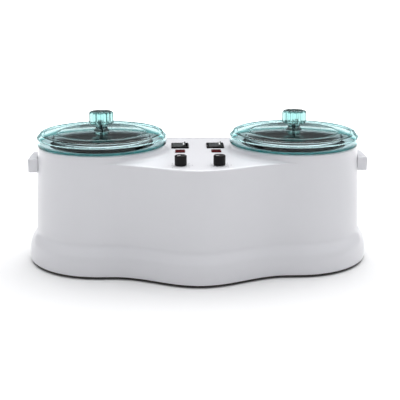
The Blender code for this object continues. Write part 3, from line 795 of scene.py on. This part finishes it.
def tube(bm, path, radius, count):
    """A round wire along a path that lies in one horizontal plane."""
    rings = []
    for i, point in enumerate(path):
        before, after = path[max(i - 1, 0)], path[min(i + 1, len(path) - 1)]
        forward = (after - before).normalized()
        side = Vector((-forward.y, forward.x, 0.0))
        rings.append([point + side * radius * math.cos(2 * math.pi * k / count)
                      + Vector((0, 0, radius * math.sin(2 * math.pi * k / count))) for k in range(count)])
    loft(bm, rings)


def make_lid(name, side):
    """Clear lid with a chamfered shoulder, a raised ring, a fluted knob and the knob's screw."""
    centre = (side * POT_X, POT_Y)
    body = f"cover_{name}"
    inner_r, inner_top = LID_R - 2.5, LID_TOP_Z - 2.5
    profile = [(inner_r, LID_Z), (LID_R - 0.3, LID_Z), (LID_R, LID_Z + 0.4), (LID_R, 145.8),
               (LID_R - 0.12, 146.4), (LID_R - 0.5, 147.0), (71.0, 150.45), (70.3, 150.85), (69.2, LID_TOP_Z)]
    profile += [(66.0, LID_TOP_Z), (65.4, LID_TOP_Z - 0.6), (52.4, LID_TOP_Z - 0.6), (51.2, LID_TOP_Z),
                (50.0, LID_TOP_Z), (48.8, LID_TOP_Z - 0.6), (14.0, LID_TOP_Z - 0.6), (13.6, LID_TOP_Z - 0.3),
                (2.2, LID_TOP_Z - 0.3), (2.2, inner_top)]
    profile += [(68.6, inner_top), (69.2, inner_top - 0.3), (72.1, 145.3), (inner_r, 144.4),
                (inner_r, LID_Z + 3.0)]
    bm = bmesh.new()
    turn(bm, profile, centre, closed=True)
    piece(f"clear_lid_{name}", bm, body, "clear_teal", (f"lid_{name}",), sharp=28.0)

    bm = bmesh.new()
    foot_z = LID_TOP_Z + 0.3
    profile = [(1.9, 164.6), (1.9, foot_z), (8.6, foot_z), (9.3, foot_z + 0.5), (8.9, foot_z + 1.1)]
    profile += [(7.5, 153.6), (6.9, 155.4), (6.8, 158.6), (7.4, 159.5), (9.0, 159.8), (12.4, 160.0),
                (13.7, 160.8), (KNOB_R, 162.0), (KNOB_R, 172.0), (KNOB_R - 0.5, 173.4),
                (KNOB_R - 1.6, 174.3), (KNOB_R - 3.0, KNOB_TOP_Z), (9.0, KNOB_TOP_Z),
                (8.2, KNOB_TOP_Z - 0.8), (4.0, KNOB_TOP_Z - 1.0)]
    flutes, flute_depth = 12, 0.14
    rings = []
    for radius, z in profile:
        depth = flute_depth * smoothstep((z - 159.4) / 1.5) * smoothstep((radius - 8.6) / 3.0)
        ring = []
        for point in circle(1.0, z, ROUND):
            lobe = (0.5 - 0.5 * math.cos(flutes * math.atan2(point.y, point.x))) ** 2.2
            grown = radius * (1 - depth * lobe)
            ring.append(Vector((centre[0] + point.x * grown, centre[1] + point.y * grown, z)))
        rings.append(ring)
    loft(bm, rings)
    piece(f"fluted_knob_{name}", bm, body, "clear_teal", (f"lid_knob_{name}",), look="clear_teal_thick",
          sharp=60.0)

    bm = bmesh.new()
    head_z = 146.2
    turn(bm, [(2.6, head_z), (3.6, head_z + 0.3), (4.0, head_z + 0.9), (4.0, 148.2), (SCREW_R, 148.2),
              (SCREW_R, 163.5), (0.6, 164.4)], centre, count=SMALL_ROUND)
    piece(f"lid_screw_head_{name}", bm, body, "bright_steel", (f"lid_screw_{name}",),
          tools=cross_recess(centre, head_z - 0.5, head_z + 0.8, 2.2))


# ---- controls -----------------------------------------------------------
def make_switch(name, side):
    """Rocker switch: bevelled frame, dished rocker and its white on mark, which is also a painted highlight along
    the rocker's right side.
    """
    centre = (side * SIDE_X, SWITCH_Y)
    low, high = node_box(f"switch_frame_{name}")
    top = high.z
    bm = bmesh.new()
    rows = [(9.4, 11.0, low.z, 0.5), (9.4, 11.0, SEAT_Z, 0.5), (10.5, 12.0, SEAT_Z, 0.9),
            (10.5, 12.0, SEAT_Z + 0.9, 0.9), (10.35, 11.85, SEAT_Z + 1.4, 0.8), (9.9, 11.4, top - 0.1, 0.6),
            (9.6, 11.1, top, 0.5), (9.1, 10.6, top, 0.4), (8.8, 10.3, top - 0.3, 0.3),
            (8.8, 10.3, 117.0, 0.3)]
    loft(bm, [rounded_plan(a, b, corner, z, centre, 4) for a, b, z, corner in rows])
    piece(f"switch_bezel_{name}", bm, "warmer", "black_plastic", (f"switch_frame_{name}",))

    joint = frame_joint(f"rocker_{name}_tip")
    pivot = Vector(joint["pos_m"]) / MM
    tilt = math.radians(-joint["range_deg"][1] / 2)
    cosine, sine = math.cos(tilt), math.sin(tilt)
    half_x, half_y, steps = 7.6, 9.9, 16

    def tipped(x, y, z):
        """A point of the level rocker, moved to where the rocker rests."""
        return pivot + Vector((x * cosine + z * sine, y, -x * sine + z * cosine))

    def face(x):
        """Height of the dished face."""
        return 6.0 + 1.3 * (x / half_x) ** 2

    across = [half_x - 2 * half_x * i / steps for i in range(steps + 1)]
    shape = [(-half_x, 2.0), (-4.0, -4.0), (4.0, -4.0), (half_x, 2.0)] + [(x, face(x)) for x in across]
    ends = ((half_y, 0.93), (half_y - 0.12, 0.97), (half_y - 0.4, 0.99), (half_y - 0.8, 1.0))
    sections = [(-y, size) for y, size in ends] + [(y, size) for y, size in reversed(ends)]
    bm = bmesh.new()
    loft(bm, [[tipped(x * size, y, z * size) for x, z in shape] for y, size in sections])
    piece(f"rocker_key_{name}", bm, f"switch_{name}", "rocker_plastic", (f"rocker_{name}",))

    bm = bmesh.new()
    # a white stroke on the right of the face: the on mark, and also a painted highlight standing in for a glint on
    # the rocker's edge
    mark = ((4.7, -6.0), (6.1, -6.0), (6.1, 6.0), (4.7, 6.0))
    loft(bm, [[tipped(x, y, face(x) + depth) for x, y in mark] for depth in (-0.2, 0.06)])
    piece(f"rocker_mark_and_painted_glint_{name}", bm, f"switch_{name}", "rocker_plastic", look="white_ink")


def make_lamp(name, side):
    """Red lens with a bevelled rim and a ribbed window."""
    centre = (side * SIDE_X, LAMP_Y)
    low, high = node_box(f"indicator_lamp_{name}")
    bm = bmesh.new()
    rows = [(4.9, 4.65, low.z, 0.3), (4.9, 4.65, SEAT_Z, 0.3), (5.75, 5.5, SEAT_Z, 0.5),
            (5.75, 5.5, SEAT_Z + 0.6, 0.5), (5.5, 5.25, high.z - 0.15, 0.5), (5.2, 4.95, high.z, 0.4),
            (4.7, 4.45, high.z, 0.3), (4.5, 4.25, high.z - 0.2, 0.3)]
    loft(bm, [rounded_plan(a, b, corner, z, centre, 4) for a, b, z, corner in rows])
    rib_pitch, rib_reach, rib_half = 1.1, 4.3, 0.25
    ribs = bmesh.new()
    for i in range(-3, 4):
        y = centre[1] + rib_pitch * i
        box(ribs, (centre[0] - rib_reach, y - rib_half, high.z - 0.6),
            (centre[0] + rib_reach, y + rib_half, high.z - 0.04))
    piece(f"lamp_lens_{name}", bm, "warmer", "red_lens", (f"indicator_lamp_{name}",),
          tools=[("UNION", ribs)])


def make_dial(name, side):
    """Black dial with a fine grip round its side and a white pointer."""
    centre = (side * SIDE_X, DIAL_Y)
    low, high = node_box(f"temperature_dial_{name}")
    body = f"dial_{name}"
    profile = [(2.3, high.z - 0.5), (2.3, 132.0), (6.0, 132.0), (6.0, low.z), (DIAL_R - 0.2, low.z),
               (DIAL_R, low.z + 0.3), (DIAL_R, high.z - 1.3), (DIAL_R - 0.15, high.z - 0.7),
               (DIAL_R - 0.55, high.z - 0.2), (DIAL_R - 1.0, high.z), (DIAL_R - 1.6, high.z - 0.12),
               (1.2, high.z - 0.2)]
    grips, grip_depth, dial_round = 24, 0.16, 192
    rings = []
    for radius, z in profile:
        grip = grip_depth if radius > DIAL_R - 0.05 and low.z + 0.2 < z < high.z - 1.2 else 0.0
        ring = []
        for point in circle(1.0, z, dial_round):
            notch = max(math.cos(grips * math.atan2(point.y, point.x)), 0.0)
            ring.append(Vector((centre[0] + point.x * (radius - grip * notch),
                                centre[1] + point.y * (radius - grip * notch), z)))
        rings.append(ring)
    bm = bmesh.new()
    loft(bm, rings)
    piece(f"dial_knob_{name}", bm, body, "black_plastic", (f"temperature_dial_{name}",))

    along = Vector((math.cos(DIAL_START), math.sin(DIAL_START), 0.0))
    across = Vector((-along.y, along.x, 0.0)) * 0.4
    middle = Vector(centre).to_3d()
    tip, tail = middle + along * (DIAL_R - 1.2), middle + along * 0.6
    corners = (tail - across, tip - across, tip + across, tail + across)
    bm = bmesh.new()
    loft(bm, [[corner + Vector((0, 0, z)) for corner in corners] for z in (high.z - 0.4, high.z - 0.04)])
    piece(f"dial_pointer_{name}", bm, body, "black_plastic", look="white_ink")


def print_marks():
    """Tick marks and numbers round each dial, printed on the panel."""
    ink_top = PANEL_Z + 0.06
    numbers, number_ring = 7, 12.8
    ticks_last = 2 * (numbers - 1)
    inner, half = 8.4, 0.3
    for name, side in SIDES:
        centre = Vector((side * SIDE_X, DIAL_Y, 0))
        ticks = bmesh.new()
        for i in range(ticks_last + 1):
            angle = math.radians(-DIAL_SWEEP + 2 * DIAL_SWEEP * i / ticks_last) + math.pi / 2
            along = Vector((math.cos(angle), math.sin(angle), 0))
            across = Vector((-along.y, along.x, 0))
            outer = 10.6 if i % 2 == 0 else 9.6
            rings = []
            for z in (PANEL_Z - 0.05, ink_top):
                rings.append([centre + along * r + across * w + Vector((0, 0, z))
                              for r, w in ((inner, -half), (outer, -half), (outer, half), (inner, half))])
            loft(ticks, rings)
        piece(f"dial_scale_{name}", ticks, "warmer", "white_plastic", look="print_ink")
        for i in range(numbers):
            angle = math.radians(DIAL_SWEEP - 2 * DIAL_SWEEP * i / (numbers - 1)) + math.pi / 2
            spot = centre + number_ring * Vector((math.cos(angle), math.sin(angle), 0))
            print_number(f"dial_number_{name}_{i}", str(i), spot, 2.9, ink_top)


def print_number(name, text, spot, size, top):
    """One printed number, centred on spot."""
    curve = bpy.data.curves.new(name, "FONT")
    curve.body = text
    curve.size = size * MM
    ink = 0.05
    curve.extrude = ink * MM
    curve.align_x = "CENTER"
    curve.align_y = "CENTER"
    curve.resolution_u = 4
    obj = bpy.data.objects.new(name, curve)
    bpy.context.scene.collection.objects.link(obj)
    obj.location = Vector((spot.x, spot.y, top - ink)) * MM
    bpy.context.view_layer.update()
    depsgraph = bpy.context.evaluated_depsgraph_get()
    mesh = bpy.data.meshes.new_from_object(obj.evaluated_get(depsgraph))
    mesh.transform(obj.matrix_world)
    bpy.data.objects.remove(obj)
    printed = bpy.data.objects.new(name, mesh)
    bpy.context.scene.collection.objects.link(printed)
    mesh.materials.clear()
    mesh.materials.append(LOOKS["print_ink"])
    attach(printed, "warmer")


# ---- inlet --------------------------------------------------------------
def make_inlet():
    """Appliance inlet: rounded flange, shaped socket, three pins and two screws."""
    low, high = node_box("power_inlet")
    middle = (low.z + high.z) / 2
    bm = bmesh.new()
    rows = [(13.6, 9.6, 1.0, low.y), (13.6, 9.6, 1.0, INLET_BACK_Y), (25.0, 11.5, 2.5, INLET_BACK_Y),
            (25.0, 11.5, 2.5, INLET_FACE_Y - 0.5), (24.5, 11.0, 2.2, INLET_FACE_Y),
            (12.2, 8.2, 1.6, INLET_FACE_Y), (12.0, 8.0, 1.5, INLET_FACE_Y - 0.4), (12.0, 8.0, 1.5, 80.0)]
    loft(bm, [[Vector((p.x, y, middle + p.y)) for p in rounded_plan(a, b, corner, 0)]
              for a, b, corner, y in rows])
    holes = bmesh.new()
    for x in (-INLET_SCREW_X, INLET_SCREW_X):
        loft(holes, [[Vector((x + p.x, y, middle + p.y)) for p in circle(radius, 0, SMALL_ROUND)]
                     for radius, y in ((SCREW_HOLE_R, 92.0), (SCREW_HOLE_R, 95.0), (4.9, 98.0))])
    piece("inlet_body", bm, "warmer", "black_plastic", ("power_inlet",), tools=[("DIFFERENCE", holes)])
    for index, (x, z) in enumerate(((-7.0, -1.0), (0.0, 3.0), (7.0, -1.0)), 1):
        pin = bmesh.new()
        box(pin, (x - 1.0, 80.2, middle + z - 2.0), (x + 1.0, 94.0, middle + z + 2.0))
        piece(f"inlet_pin_{index}", pin, "warmer", "black_plastic", look="bright_steel", bevel=0.4)
    for name, side in SIDES:
        bm = bmesh.new()
        x = side * INLET_SCREW_X
        rings = []
        for radius, y in ((SCREW_R, 86.0), (SCREW_R, 95.0), (2.7, 96.2), (2.6, 96.3)):
            rings.append([Vector((x + p.x, y, middle + p.y)) for p in circle(radius, 0, SMALL_ROUND)])
        loft(bm, rings)
        cuts = []
        for a, b in ((1.9, 0.4), (0.4, 1.9)):
            cut = bmesh.new()
            box(cut, (x - a, 95.6, middle - b), (x + a, 97.0, middle + b))
            cuts.append(("DIFFERENCE", cut))
        piece(f"inlet_screw_head_{name}", bm, "warmer", "bright_steel", (f"inlet_screw_{name}",),
              tools=cuts)


# ---- stage --------------------------------------------------------------
def make_stage():
    """White floor that glows a little behind the warmer, like a lit backdrop."""
    reach = 14.0
    glow_from, glow = (0.3, 0.8), (0.0, 1.3)   # metres behind the middle, and strength there
    mesh = bpy.data.meshes.new("floor")
    corners = [(-reach, -reach, 0), (reach, -reach, 0), (reach, reach, 0), (-reach, reach, 0)]
    mesh.from_pydata(corners, [], [(0, 1, 2, 3)])
    floor = bpy.data.objects.new("floor", mesh)
    bpy.context.scene.collection.objects.link(floor)
    material, tree, shader = new_material("floor_white", (0.84, 0.84, 0.84), 0.75)
    shader.inputs["Emission Color"].default_value = (1.0, 1.0, 1.0, 1.0)
    map_range(tree, axis_of(tree, "Object", "Y"), glow_from, glow, shader.inputs["Emission Strength"])
    mesh.materials.append(material)


def area_light(name, place, aim, size, power):
    data = bpy.data.lights.new(name, "AREA")
    data.shape = "RECTANGLE"
    data.size, data.size_y = size
    data.energy = power
    light = bpy.data.objects.new(name, data)
    bpy.context.scene.collection.objects.link(light)
    light.location = place
    light.rotation_euler = (Vector(aim) - Vector(place)).to_track_quat("-Z", "Y").to_euler()


def make_lights():
    """A sky that fades towards the horizon, one broad overhead light and two faint side panels."""
    sky_height, sky = (0.15, 0.55), (0.10, 0.50)   # sine of the angle above the horizon, and strength there
    world = bpy.data.worlds.new("studio")
    bpy.context.scene.world = world
    world.use_nodes = True
    tree = world.node_tree
    background = tree.nodes["Background"]
    background.inputs["Color"].default_value = (0.96, 0.97, 1.0, 1.0)
    map_range(tree, axis_of(tree, "Generated", "Z"), sky_height, sky, background.inputs["Strength"])
    sun = bpy.data.lights.new("overhead", "SUN")
    sun.energy = 3.1
    sun.angle = math.radians(75)
    overhead = bpy.data.objects.new("overhead", sun)
    bpy.context.scene.collection.objects.link(overhead)
    overhead.rotation_euler = Vector((-0.1, -0.35, -1.0)).to_track_quat("-Z", "Y").to_euler()
    for name, side in SIDES:
        area_light(f"{name}_soft", place=(1.5 * side, -0.7, 0.9), aim=(0.0, 0.0, 0.08), size=(0.5, 1.0),
                   power=0.1)


def make_camera():
    """Camera in front of the warmer and a little above it."""
    data = bpy.data.cameras.new("camera")
    data.sensor_width = 36.0
    data.lens = 76.6
    camera = bpy.data.objects.new("camera", data)
    bpy.context.scene.collection.objects.link(camera)
    place, aim = Vector((-0.0274, -0.963, 0.337)), Vector((0.0023, 0.015, 0.067))
    camera.location = place
    camera.rotation_euler = (aim - place).to_track_quat("-Z", "Y").to_euler()
    bpy.context.scene.camera = camera
    bpy.context.scene.view_settings.view_transform = "Standard"


def dress_remaining_nodes():
    """CAD nodes that stay as they are get their slot's finished material."""
    slots = {row["node"]: row["material_slot"] for row in frame["record"]["subparts"]}
    for node, obj in frame["nodes"].items():
        obj.data.materials.clear()
        obj.data.materials.append(LOOKS[slots[node]])


make_camera()
make_lights()
make_stage()
dress_remaining_nodes()
make_housing()
make_base_plate()
make_feet()
make_base_screws()
make_handles()
for side_name, side_sign in SIDES:
    make_well(side_name, side_sign)
    make_pot(side_name, side_sign)
    make_lid(side_name, side_sign)
    make_switch(side_name, side_sign)
    make_lamp(side_name, side_sign)
    make_dial(side_name, side_sign)
print_marks()
make_inlet()
